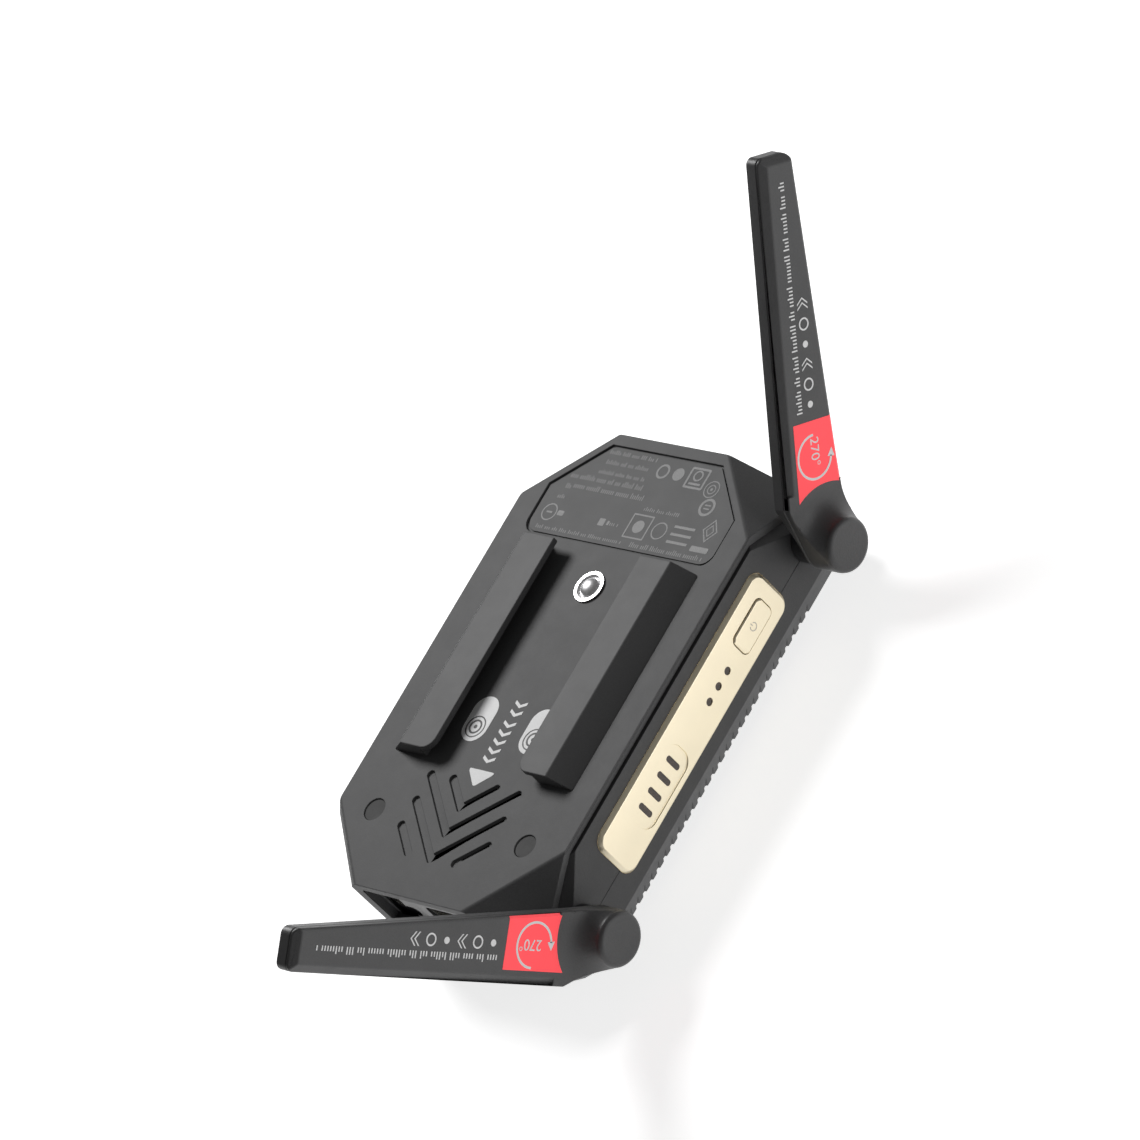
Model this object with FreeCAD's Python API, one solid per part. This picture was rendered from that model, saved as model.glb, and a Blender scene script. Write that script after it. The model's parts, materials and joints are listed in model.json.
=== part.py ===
import FreeCAD, Part
import math
import os

from FreeCAD import Vector as V

# Palm-size wireless transmitter with a slide-in rail mount on its back and
# two folding flat antennas on its right side.  Millimetres.
# Origin: centre of the front face, which is the face the body rests on.
# +X is the side with the metal control plate, +Y the end with the label,
# +Z the back of the body, where the slide rails are.

# ---------------------------------------------------------------- driving dimensions
HALF_W = 33.8            # middle frame half width
HALF_L = 54.8            # middle frame half length
THICK = 27.0             # front face to back face
CORNER_LEG = 17.8        # corner chamfer leg on the back face
LEFT_LEG = 15.6          # leg of the upright corner chamfers on the left side
FACET_ROUND = 1.3        # rounding between the back face and the corner facets
FRONT_LEG = 10.0         # corner chamfer leg on the front face
FACET_RUN = 1.25         # how far a corner facet runs along an edge per mm of depth
WALL = 2.0
PART_Z = 12.2            # parting line of the front cover and the middle frame
COVER_Z = THICK - WALL   # parting line of the middle frame and the rear cover
BEVEL_Z = 5.8            # where the bevel of the front cover ends
BEVEL_IN = 3.5           # how far the bevel draws the front face in
EDGE_STEP = 0.35         # rear cover stands this far inside the frame
EDGE_UNDERCUT = 0.6      # its edge leans in by this much over its thickness
BIG = 400.0

RIB_PITCH = 2.8
RIB_COUNT = 27
RIB_GAP = 1.1
RIB_DEPTH = 0.6
RIB_TOP = 3.4

RAIL_Y0, RAIL_Y1 = -24.3, 27.2
RAIL_H = 4.0
LIP_X = 12.7             # inner edge of a rail's lip
LIP_T = 1.5
CHANNEL_X = 16.5         # side wall of the channel
RAIL_TOP_X = 21.6
RAIL_BASE_X = 26.5
LIP_ROUND = 3.0

LABEL_Y0, LABEL_Y1 = 29.3, 52.1
LABEL_HALF = 27.4
LABEL_LEG = 11.2
LABEL_DEPTH = 0.6
LABEL_PLATE_T = 0.3

BALL_Y = 19.7
BALL_R = 2.9
BALL_PROUD = 1.3
BALL_SEAT_Z = 18.4       # floor of the lock's bore
SPRING_TURNS = 4.0
SLEEVE_R = 3.6
SLEEVE_LIP = 0.35        # the sleeve's lip stands this far proud

SCREW_X, SCREW_Y = 22.4, 38.0
PLUG_R = 2.55

VENT_W = 1.8
VENT_DEPTH = 0.55
VENT_SLOPE = 0.9         # drop of a vent arm per mm towards the middle
SLIT_W = 0.6             # air slit through the floor of the right arms
SLIT_SIDE = 0.55         # from the middle of the arm to the middle of its slit
# each vent: outer end's distance from the middle and Y, and the inner end's distance
VENTS = ((6.4, -27.6, 0.0), (12.9, -27.8, 0.0), (12.9, -33.9, 0.0), (12.9, -39.9, 7.0))

FAN_Y = -33.8
FAN_HALF = 10.0
FAN_Z0, FAN_Z1 = 17.2, 23.4
BLADES = 9

PLATE_Y0, PLATE_Y1 = -32.2, 33.8
PLATE_Z0, PLATE_Z1 = 9.1, 22.0
PLATE_T = 0.9
PLATE_R = 3.0
PLATE_CHAMFER = 0.8
POOL_DEPTH = 0.3
PLATE_X = HALF_W + PLATE_T
BUTTON_Y, BUTTON_Z = 24.2, 15.2
BUTTON_L, BUTTON_W = 10.9, 5.5
BUTTON_PROUD = 0.35
STATUS_Y = (6.3, 10.0, 13.7)
STATUS_R = 0.85
LEVEL_PITCH = 3.73
LEVEL_Y0 = -19.5
LEVEL_COUNT = 4
LEVEL_W, LEVEL_H = 1.3, 4.3
LIGHT_Z = 14.9

BAY_HALF = 15.6
BAY_Z0 = 13.4
BAY_DEPTH = 3.0

HINGE_Y, HINGE_Z = 46.8, 13.4
SPINDLE_R = 2.5
RUN_FIT = 0.05
BUSH_R = 4.2
BOSS_R = 6.2
BOSS_X0 = 23.4
COLLAR_R = 5.2
CLIP_T = 0.7

PADDLE_X0, PADDLE_X1 = 35.9, 40.4
KNOB_X0, KNOB_X1 = 38.2, 45.7
KNOB_R = 5.8
SCOOP_R = 12.2
UNDER_R = 13.0
ANT_LEN = 80.2
ANT_OUT = 10.6           # outer edge, from the hinge axis
ANT_IN0, ANT_IN1 = -4.0, 2.1   # inner edge, at its start and at the tip
ANT_START = 12.0
ANT_CORNER = 8.6
ANT_BEVEL = 1.7          # bevel of the outer edge and tip: width and drop
ANT_BEVEL_DROP = 1.2
INNER_BEVEL = 0.6        # bevel of the inner edge: width and drop
INNER_BEVEL_DROP = 0.35
KNOB_ROUND = 1.1
SPLIT_X = 38.7
REST_UPPER = 48.0
REST_LOWER = 119.6


# ---------------------------------------------------------------- helpers
def box(x0, x1, y0, y1, z0, z1):
    return Part.makeBox(x1 - x0, y1 - y0, z1 - z0, V(x0, y0, z0))


def rod(r, p, d, h):
    return Part.makeCylinder(r, h, V(*p), V(*d))


def tube(r_out, r_in, p, d, h):
    return rod(r_out, p, d, h).cut(rod(r_in, p, d, h))


def prism(points, direction):
    """Closed polygon of 3-D points, extruded along direction."""
    pts = [V(*p) for p in points]
    return Part.Face(Part.makePolygon(pts + pts[:1])).extrude(V(*direction))


def half_space(point, normal):
    """A big block that fills the side of the plane that normal points to."""
    n = V(*normal)
    block = Part.makeBox(BIG, BIG, BIG, V(-BIG / 2, -BIG / 2, 0))
    block.Placement = FreeCAD.Placement(V(*point), FreeCAD.Rotation(V(0, 0, 1), n))
    return block


def rounded_box(x0, x1, y0, y1, z0, z1, r, axis):
    """A box whose four edges along axis (0, 1 or 2) are rounded by r."""
    solid = box(x0, x1, y0, y1, z0, z1)
    along = [e for e in solid.Edges
             if abs(abs(e.tangentAt(e.FirstParameter)[axis]) - 1) < 1e-6]
    return solid.makeFillet(r, along)


def save(name, solids):
    solids = solids if isinstance(solids, list) else [solids]
    solids = [s for group in solids for s in group.Solids]
    shape = solids[0] if len(solids) == 1 else Part.makeCompound(solids)
    if not shape.isValid():
        raise ValueError(name + " is not a valid solid")
    shape.exportStep("parts/" + name + ".step")


# ---------------------------------------------------------------- body envelope
FACET_N = math.sqrt(2.0 + FACET_RUN ** 2)


def facet_cut(solid, inset, top):
    """Cut the four sloping corner facets of the back (top) or of the front."""
    leg = CORNER_LEG if top else FRONT_LEG
    z = THICK if top else 0.0
    up = FACET_RUN if top else -FACET_RUN
    for sx in (-1, 1):
        for sy in (-1, 1):
            n = V(sx, sy, up).multiply(1.0 / FACET_N)
            p = V(sx * (HALF_W - leg), sy * HALF_L, z) - n * inset
            solid = solid.cut(half_space(p, n))
    for sy in (-1, 1):
        n = V(-1, sy, 0).multiply(math.sqrt(0.5))
        p = V(-HALF_W + LEFT_LEG, sy * HALF_L, 0) - n * inset
        solid = solid.cut(half_space(p, n))
    return solid


def envelope(inset, z0, z1):
    """The body's outer form drawn in by inset, between two levels."""
    solid = box(-HALF_W + inset, HALF_W - inset, -HALF_L + inset, HALF_L - inset, z0, z1)
    solid = facet_cut(solid, inset, True)
    return facet_cut(solid, inset, False)


def hinge_places():
    return (("upper", HINGE_Y), ("lower", -HINGE_Y))


def screw_places():
    return [(sx * SCREW_X, sy * SCREW_Y) for sx in (-1, 1) for sy in (-1, 1)]


# ---------------------------------------------------------------- front cover
def front_cover():
    shell = envelope(0.0, 0.0, PART_Z)
    for sx in (-1, 1):
        shell = shell.cut(half_space((sx * (HALF_W - BEVEL_IN), 0, 0), (sx * BEVEL_Z, 0, -BEVEL_IN)))
    for sy in (-1, 1):
        shell = shell.cut(half_space((0, sy * (HALF_L - BEVEL_IN), 0), (0, sy * BEVEL_Z, -BEVEL_IN)))
    shell = shell.cut(envelope(WALL, BEVEL_Z + 1, PART_Z))
    shell = shell.cut(envelope(BEVEL_IN + 1.3, WALL, BEVEL_Z + 1))
    grooves = []
    rise = RIB_TOP * BEVEL_IN / BEVEL_Z + RIB_DEPTH   # a groove runs out at RIB_TOP
    for i in range(RIB_COUNT):
        y = (i - (RIB_COUNT - 1) / 2.0) * RIB_PITCH
        for sx in (-1, 1):
            x0, x1 = sorted((sx * (HALF_W - BEVEL_IN - RIB_DEPTH), sx * (HALF_W + 2)))
            slot = box(x0, x1, y - RIB_GAP / 2, y + RIB_GAP / 2, -1, RIB_TOP + 0.5)
            keep = half_space((sx * (HALF_W - BEVEL_IN - RIB_DEPTH), 0, 0), (sx * RIB_TOP, 0, -rise))
            grooves.append(slot.common(keep))
    shell = shell.cut(Part.makeCompound(grooves))
    for _, y in hinge_places():
        shell = shell.cut(rod(BUSH_R, (BOSS_X0, y, HINGE_Z), (1, 0, 0), 20))
        shell = shell.cut(rod(BOSS_R, (BOSS_X0, y, HINGE_Z), (1, 0, 0), HALF_W - WALL - BOSS_X0))
    for x, y in screw_places():
        post = tube(3.0, 1.0, (x, y, WALL - 0.2), (0, 0, 1), 7.7)
        shell = shell.fuse(post.common(envelope(WALL, 0.5, PART_Z)))
    return shell.removeSplitter()


# ---------------------------------------------------------------- middle frame
def middle_frame():
    ring = facet_cut(box(-HALF_W, HALF_W, -HALF_L, HALF_L, PART_Z, COVER_Z), WALL, True)
    inner = box(-HALF_W + WALL, HALF_W - WALL, -HALF_L + WALL, HALF_L - WALL, PART_Z, COVER_Z)
    ring = ring.cut(facet_cut(inner, 2 * WALL, True))
    for _, y in hinge_places():
        boss = rod(BOSS_R, (BOSS_X0, y, HINGE_Z), (1, 0, 0), HALF_W - WALL - BOSS_X0)
        room = box(0, HALF_W, -HALF_L + WALL, HALF_L - WALL, 0, COVER_Z)
        ring = ring.fuse(boss.common(facet_cut(room, WALL, True)))
    for _, y in hinge_places():
        ring = ring.cut(rod(BUSH_R, (BOSS_X0 - 1, y, HINGE_Z), (1, 0, 0), 20))
    bay = box(-BAY_HALF, BAY_HALF, -HALF_L - 1, -HALF_L + WALL + 0.1, BAY_Z0, COVER_Z + 1)
    ring = ring.cut(bay)
    ring = ring.cut(button_form(0.15, HALF_W - WALL - 1, HALF_W + 1))
    for y in STATUS_Y:
        ring = ring.cut(rod(STATUS_R, (HALF_W - WALL - 1, y, LIGHT_Z), (1, 0, 0), 5))
    for bar in level_bars(HALF_W - WALL - 1, HALF_W + 1):
        ring = ring.cut(bar)
    return ring.removeSplitter()


# ---------------------------------------------------------------- rear cover
def slot_path(points):
    """A round-ended groove VENT_W wide and VENT_DEPTH deep along a chain of points."""
    r = VENT_W / 2
    z, height = THICK - VENT_DEPTH, VENT_DEPTH + 1
    slot = rod(r, (points[0][0], points[0][1], z), (0, 0, 1), height)
    for a, b in zip(points, points[1:]):
        a, b = V(a[0], a[1], z), V(b[0], b[1], z)
        side = (b - a).normalize().cross(V(0, 0, r))
        slot = slot.fuse(prism([a + side, b + side, b - side, a - side], (0, 0, height)))
        slot = slot.fuse(rod(r, tuple(b), (0, 0, 1), height))
    return slot.removeSplitter()


def vent_grooves():
    """Chevrons: each arm slopes down to the middle; the lowest one is open there."""
    grooves = []
    for x, y, inner in VENTS:
        y_in = y - (x - inner) * VENT_SLOPE
        if inner == 0.0:
            grooves.append(slot_path([(-x, y), (0, y_in), (x, y)]))
        else:
            grooves += [slot_path([(sx * x, y), (sx * inner, y_in)]) for sx in (-1, 1)]
    return grooves


def vent_slits():
    """Air slits along the upper side of each right arm."""
    slits = []
    for x, y, inner in VENTS:
        along = V(1, VENT_SLOPE, 0).normalize()
        side = V(-along.y, along.x, 0)
        start = V(inner, y - (x - inner) * VENT_SLOPE, COVER_Z - 1) + side * SLIT_SIDE + along * 1.4
        end = V(x, y, COVER_Z - 1) + side * SLIT_SIDE
        half = side * (SLIT_W / 2)
        slits.append(prism([start - half, end - half, end + half, start + half], (0, 0, WALL + 2)))
    return slits


def rear_cover():
    hx, hy = HALF_W - EDGE_STEP, HALF_L
    cover = facet_cut(box(-hx, hx, -hy, hy, PART_Z, THICK), 0.0, True)
    slanted = [e for e in cover.Edges if min(v.Z for v in e.Vertexes) > THICK - 1e-6
               and abs(abs(e.tangentAt(e.FirstParameter).x) - math.sqrt(0.5)) < 0.01]
    cover = cover.makeFillet(FACET_ROUND, slanted)
    cover = cover.cut(facet_cut(box(-BIG / 4, BIG / 4, -BIG / 4, BIG / 4, 0, COVER_Z), WALL, True))
    for sx in (-1, 1):
        cover = cover.cut(half_space((sx * hx, 0, THICK - 0.4), (sx * WALL, 0, -EDGE_UNDERCUT)))
    cover = cover.cut(label_form(LABEL_DEPTH, 0.0).translate(V(0, 0, THICK - LABEL_DEPTH)))
    cover = cover.cut(Part.makeCompound(vent_grooves())).cut(Part.makeCompound(vent_slits()))
    for x, y in screw_places():
        cover = cover.cut(rod(PLUG_R, (x, y, THICK - 1.5), (0, 0, 1), 5))
        boss = rod(3.2, (x, y, COVER_Z - 3), (0, 0, 1), 3.5)
        room = facet_cut(box(-40, 40, -50, 50, 0, COVER_Z + 1), 2 * WALL, True)
        cover = cover.fuse(boss.common(room.fuse(box(-40, 40, -50, 50, COVER_Z, COVER_Z + 1))))
        cover = cover.cut(rod(1.3, (x, y, 10), (0, 0, 1), 20))
    cover = cover.fuse(rod(SLEEVE_R + 1.2, (0, BALL_Y, BALL_SEAT_Z - 1), (0, 0, 1), COVER_Z + 1.5 - BALL_SEAT_Z))
    cover = cover.cut(rod(SLEEVE_R, (0, BALL_Y, BALL_SEAT_Z), (0, 0, 1), 12))
    for _, y in hinge_places():
        cover = cover.cut(rod(BUSH_R, (BOSS_X0, y, HINGE_Z), (1, 0, 0), HALF_W - BOSS_X0))
    return cover.removeSplitter()


def slide_rail(sx):
    section = [(CHANNEL_X, THICK), (RAIL_BASE_X, THICK), (RAIL_TOP_X, THICK + RAIL_H),
               (LIP_X, THICK + RAIL_H), (LIP_X, THICK + RAIL_H - LIP_T),
               (CHANNEL_X, THICK + RAIL_H - LIP_T)]
    rail = prism([(sx * x, RAIL_Y0, z) for x, z in section], (0, RAIL_Y1 - RAIL_Y0, 0))
    corner = box(min(sx * (LIP_X - 1), sx * (LIP_X + LIP_ROUND)),
                 max(sx * (LIP_X - 1), sx * (LIP_X + LIP_ROUND)),
                 RAIL_Y0 - 1, RAIL_Y0 + LIP_ROUND, THICK - 1, THICK + RAIL_H + 1)
    keep = rod(LIP_ROUND, (sx * (LIP_X + LIP_ROUND), RAIL_Y0 + LIP_ROUND, THICK - 2), (0, 0, 1), 10)
    return rail.cut(corner.cut(keep))


def label_form(height, inset):
    """Outline of the label recess: a band with two cut and two rounded corners."""
    w = LABEL_HALF - inset
    y0, y1 = LABEL_Y0 + inset, LABEL_Y1 - inset
    leg = LABEL_LEG - inset * 0.4
    r = 3.0
    k = r * (1 - math.sqrt(0.5))
    p = [V(w, y0 + r, 0), V(w, y1 - leg, 0), V(w - leg, y1, 0), V(-w + leg, y1, 0),
         V(-w, y1 - leg, 0), V(-w, y0 + r, 0), V(-w + r, y0, 0), V(w - r, y0, 0)]
    edges = [Part.LineSegment(a, b).toShape() for a, b in zip(p[:6], p[1:6])]
    edges.append(Part.Arc(p[5], V(-w + k, y0 + k, 0), p[6]).toShape())
    edges.append(Part.LineSegment(p[6], p[7]).toShape())
    edges.append(Part.Arc(p[7], V(w - k, y0 + k, 0), p[0]).toShape())
    return Part.Face(Part.Wire(edges)).extrude(V(0, 0, height))


def label_plate():
    return label_form(LABEL_PLATE_T, 0.4).translate(V(0, 0, THICK - LABEL_DEPTH))


def screw_plugs():
    return [rod(PLUG_R - 0.05, (x, -SCREW_Y, THICK - 0.95), (0, 0, 1), 0.65)
            for x in (-SCREW_X, SCREW_X)]


def case_screws():
    screws = []
    for x, y in screw_places():
        head = rod(2.0, (x, y, THICK - 3.0 + 1.5), (0, 0, 1), 0.5)
        shank = rod(1.0, (x, y, PART_Z - 6), (0, 0, 1), THICK - 1.5 - PART_Z + 6)
        screws.append(head.fuse(shank))
    return screws


# ---------------------------------------------------------------- slide lock
def lock_sleeve():
    z = THICK + 0.1
    body = tube(SLEEVE_R, BALL_R + 0.1, (0, BALL_Y, BALL_SEAT_Z), (0, 0, 1), z - BALL_SEAT_Z)
    below = BALL_R - BALL_PROUD + z - THICK        # height of the lip above the ball's centre
    mouth = math.sqrt(BALL_R ** 2 - below ** 2) + 0.08
    lip = tube(SLEEVE_R, mouth, (0, BALL_Y, z), (0, 0, 1), SLEEVE_LIP)
    flare = Part.makeCone(mouth, mouth + 0.5, SLEEVE_LIP, V(0, BALL_Y, z), V(0, 0, 1))
    return body.fuse(lip).removeSplitter().cut(flare)


def lock_ball():
    return Part.makeSphere(BALL_R, V(0, BALL_Y, THICK + BALL_PROUD - BALL_R))


def lock_spring():
    wire_r, coil_r = 0.25, 1.9
    z0 = BALL_SEAT_Z + wire_r + 0.05
    height = THICK + BALL_PROUD - 2 * BALL_R - z0 - wire_r - 0.1
    helix = Part.makeHelix(height / SPRING_TURNS, height, coil_r)
    profile = Part.Wire([Part.makeCircle(wire_r, V(coil_r, 0, 0), V(0, 1, 0))])
    coil = Part.Wire(helix.Edges).makePipeShell([profile], True, True)
    return coil.translate(V(0, BALL_Y, z0))


# ---------------------------------------------------------------- control side
def button_form(grow, x0, x1):
    """The oval of the power button, grown by a clearance, between two X levels."""
    half_y, half_z = BUTTON_L / 2 + grow, BUTTON_W / 2 + grow
    return rounded_box(x0, x1, BUTTON_Y - half_y, BUTTON_Y + half_y,
                       BUTTON_Z - half_z, BUTTON_Z + half_z, 1.4 + grow, 0)


def level_bars(x0, x1):
    bars = []
    for i in range(LEVEL_COUNT):
        y = LEVEL_Y0 + i * LEVEL_PITCH
        bars.append(rounded_box(x0, x1, y - LEVEL_W / 2, y + LEVEL_W / 2,
                                LIGHT_Z - LEVEL_H / 2, LIGHT_Z + LEVEL_H / 2, 0.6, 0))
    return bars


def side_plate():
    plate = rounded_box(HALF_W, PLATE_X, PLATE_Y0, PLATE_Y1, PLATE_Z0, PLATE_Z1, PLATE_R, 0)
    rim = [e for e in plate.Edges
           if min(v.X for v in e.Vertexes) > PLATE_X - 1e-6]
    plate = plate.makeChamfer(PLATE_CHAMFER, rim)
    plate = plate.cut(button_form(0.15, HALF_W - 1, PLATE_X + 1))
    for y in STATUS_Y:
        plate = plate.cut(rod(STATUS_R, (HALF_W - 1, y, LIGHT_Z), (1, 0, 0), 5))
    middle = LEVEL_Y0 + (LEVEL_COUNT - 1) * LEVEL_PITCH / 2
    pool = rounded_box(PLATE_X - POOL_DEPTH, PLATE_X + 1, middle - 9.0, middle + 9.0,
                       LIGHT_Z - 3.8, LIGHT_Z + 3.8, 3.0, 0)
    plate = plate.cut(pool)
    for bar in level_bars(HALF_W - 1, PLATE_X + 1):
        plate = plate.cut(bar)
    return plate


def power_button():
    cap = button_form(0.0, HALF_W - WALL - 0.1, PLATE_X + BUTTON_PROUD)
    face = [e for e in cap.Edges
            if min(v.X for v in e.Vertexes) > PLATE_X + BUTTON_PROUD - 1e-6]
    cap = cap.makeChamfer(0.3, face)
    flange = button_form(0.5, HALF_W - WALL - 0.6, HALF_W - WALL - 0.1)
    return cap.fuse(flange).removeSplitter()


def button_switch():
    base = box(HALF_W - 5.2, HALF_W - 3.9, BUTTON_Y - 2.6, BUTTON_Y + 2.6,
               BUTTON_Z - 2.0, BUTTON_Z + 2.0)
    stem = rod(1.0, (HALF_W - 3.9, BUTTON_Y, BUTTON_Z), (1, 0, 0), 0.75)
    return base.fuse(stem)


def side_board():
    return box(HALF_W - 6.2, HALF_W - 5.2, -26, 32, 12.0, 20.0)


def status_light_guides():
    return [rod(STATUS_R, (HALF_W - 3.6, y, LIGHT_Z), (1, 0, 0), 3.6 + PLATE_T - 0.25)
            for y in STATUS_Y]


def level_light_guides():
    return level_bars(HALF_W - 3.6, PLATE_X - 0.4)


# ---------------------------------------------------------------- lower end: ports
PANEL_Y = -HALF_L + BAY_DEPTH


def port_panel():
    panel = box(-17.5, 17.5, PANEL_Y, PANEL_Y + 1.5, BAY_Z0 - 1, COVER_Z)
    panel = facet_cut(panel.common(box(-20, 20, -HALF_L + WALL, -40, 0, COVER_Z)), 2 * WALL, True)
    bezel = rounded_box(-8.6, 15.0, PANEL_Y - 1.5, PANEL_Y + 0.5, BAY_Z0 + 1.2, COVER_Z - 0.7, 3.2, 1)
    pad = rounded_box(-2.0, 14.0, PANEL_Y - 2.1, PANEL_Y + 0.5, BAY_Z0 + 3.6, COVER_Z - 1.4, 2.4, 1)
    panel = panel.fuse([bezel, pad])
    for opening in (hdmi_form(0.0), usb_form(0.0)):
        panel = panel.cut(opening)
    return panel.removeSplitter()


def hdmi_form(inset):
    return rounded_box(0.4 + inset, 12.4 - inset, PANEL_Y - 4, PANEL_Y + 9,
                       18.2 + inset, 22.2 - inset, 0.9, 1)


def usb_form(inset):
    return rounded_box(-14.4 + inset, -5.4 - inset, PANEL_Y - 4, PANEL_Y + 9,
                       15.6 + inset, 18.8 - inset, 1.4 - inset, 1)


def socket(form, y0, y1, tongue):
    shell = form(0.0).common(box(-30, 30, y0, y1, 0, 30))
    mouth = form(0.35).common(box(-30, 30, y0 - 1, y1 - 1.2, 0, 30))
    return shell.cut(mouth).fuse(tongue).removeSplitter()


def hdmi_socket():
    tongue = box(2.4, 10.4, PANEL_Y - 0.6, PANEL_Y + 6.5, 20.0, 20.9)
    return socket(hdmi_form, PANEL_Y - 1.5, PANEL_Y + 6.4, tongue)


def usb_c_socket():
    tongue = box(-12.9, -6.9, PANEL_Y + 0.6, PANEL_Y + 6.5, 16.85, 17.55)
    return socket(usb_form, PANEL_Y - 0.2, PANEL_Y + 6.4, tongue)


# ---------------------------------------------------------------- inside
BOARD_Z0, BOARD_Z1 = 9.6, 11.0


def main_board():
    board = box(-29.5, 29.5, -49, 49, BOARD_Z0, BOARD_Z1)
    for sx in (-1, 1):
        for sy in (-1, 1):
            corner = box(-9.5, 9.5, -13.0, 13.0, 0, 30).translate(V(sx * 29.5, sy * 49, 0))
            board = board.cut(corner)
    for x, y in board_screw_places():
        board = board.cut(rod(0.9, (x, y, 5), (0, 0, 1), 10))
    return board


def board_screw_places():
    return [(sx * 26.5, sy * 30.0) for sx in (-1, 1) for sy in (-1, 1)]


def board_screws():
    return [rod(0.9, (x, y, WALL + 3), (0, 0, 1), BOARD_Z1 - WALL - 3).fuse(
        rod(1.6, (x, y, BOARD_Z1), (0, 0, 1), 0.8)) for x, y in board_screw_places()]


def board_posts():
    """Pillars that carry the main board, moulded apart from the front cover."""
    return [tube(1.8, 0.9, (x, y, WALL), (0, 0, 1), BOARD_Z0 - WALL)
            for x, y in board_screw_places()]


def battery_pack():
    return rounded_box(-23, 23, -33, 33, WALL, 8.6, 2.0, 2)


def battery_pad():
    return box(-18, 18, -26, 26, 8.6, BOARD_Z0)


def rf_shield():
    can = box(-13, 13, 27, 45, BOARD_Z1, BOARD_Z1 + 2.6)
    return can.cut(box(-12.6, 12.6, 27.4, 44.6, BOARD_Z1, BOARD_Z1 + 2.2))


def processor():
    return box(-8, 8, -12, 4, BOARD_Z1, BOARD_Z1 + 1.2)


def thermal_pad():
    return box(-8, 8, -12, 4, BOARD_Z1 + 1.2, BOARD_Z1 + 1.8)


def heat_sink():
    z0 = BOARD_Z1 + 1.8
    sink = box(-15, 15, -21, 14, z0, z0 + 1.5)
    for i in range(11):
        x = -15 + i * 2.9
        sink = sink.fuse(box(x, x + 1.0, -21, 14, z0 + 1.5, FAN_Z1))
    return sink.removeSplitter()


def fan_frame():
    frame = rounded_box(-FAN_HALF, FAN_HALF, FAN_Y - FAN_HALF, FAN_Y + FAN_HALF,
                        FAN_Z0, FAN_Z1, 1.5, 2)
    frame = frame.cut(rod(FAN_HALF - 0.8, (0, FAN_Y, FAN_Z0 + 0.8), (0, 0, 1), 10))
    for i in range(4):
        a = math.radians(45 + 90 * i)
        hole = rod(2.4, (5.6 * math.cos(a), FAN_Y + 5.6 * math.sin(a), FAN_Z0 - 1), (0, 0, 1), 3)
        frame = frame.cut(hole)
    pin = rod(0.8, (0, FAN_Y, FAN_Z0 + 0.4), (0, 0, 1), 4.6)
    return frame.fuse(pin).removeSplitter()


def fan_rotor():
    z0, z1 = FAN_Z0 + 1.2, FAN_Z1 - 0.4
    hub = rod(4.4, (0, 0, z0), (0, 0, 1), z1 - z0).cut(
        rod(0.8 + RUN_FIT, (0, 0, z0), (0, 0, 1), FAN_Z0 + 5.4 - z0))
    blade = prism([(3.9, -0.3, z0 + 0.3), (8.7, -0.3, z0 + 0.3), (8.7, 0.3, z0 + 0.3),
                   (3.9, 0.3, z0 + 0.3)], (0, 2.2, z1 - z0 - 0.6))
    blades = []
    for i in range(BLADES):
        b = blade.copy()
        b.rotate(V(0, 0, 0), V(0, 0, 1), 360.0 * i / BLADES)
        blades.append(b.common(rod(8.8, (0, 0, z0), (0, 0, 1), z1 - z0)))
    return hub.fuse(blades).translate(V(0, FAN_Y, 0))


def dust_mesh():
    x_half, y0, y1, z0 = 15.0, -47.6, -25.4, COVER_Z - 0.4
    sheet = box(-x_half, x_half, y0, y1, z0, COVER_Z)
    cell, bar = 1.9, 0.6
    holes = []
    for i in range(11):
        for j in range(8):
            x = -x_half + 1.2 + i * (cell + bar)
            y = y0 + 1.2 + j * (cell + bar)
            holes.append(box(x, x + cell, y, y + cell, z0 - 1, COVER_Z + 1))
    return sheet.cut(Part.makeCompound(holes))


# ---------------------------------------------------------------- antennas
def turn_into_place(shape, y, angle):
    shape = shape.copy()
    shape.rotate(V(0, 0, 0), V(1, 0, 0), angle)
    return shape.translate(V(0, y, HINGE_Z))


def tangent_angles(p, r):
    """Direction of p = (d, s) and the swing from it to the tangent point on circle r."""
    dist = math.hypot(*p)
    base = math.atan2(p[1], p[0])
    swing = math.acos(r / dist)
    return base, swing


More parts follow.
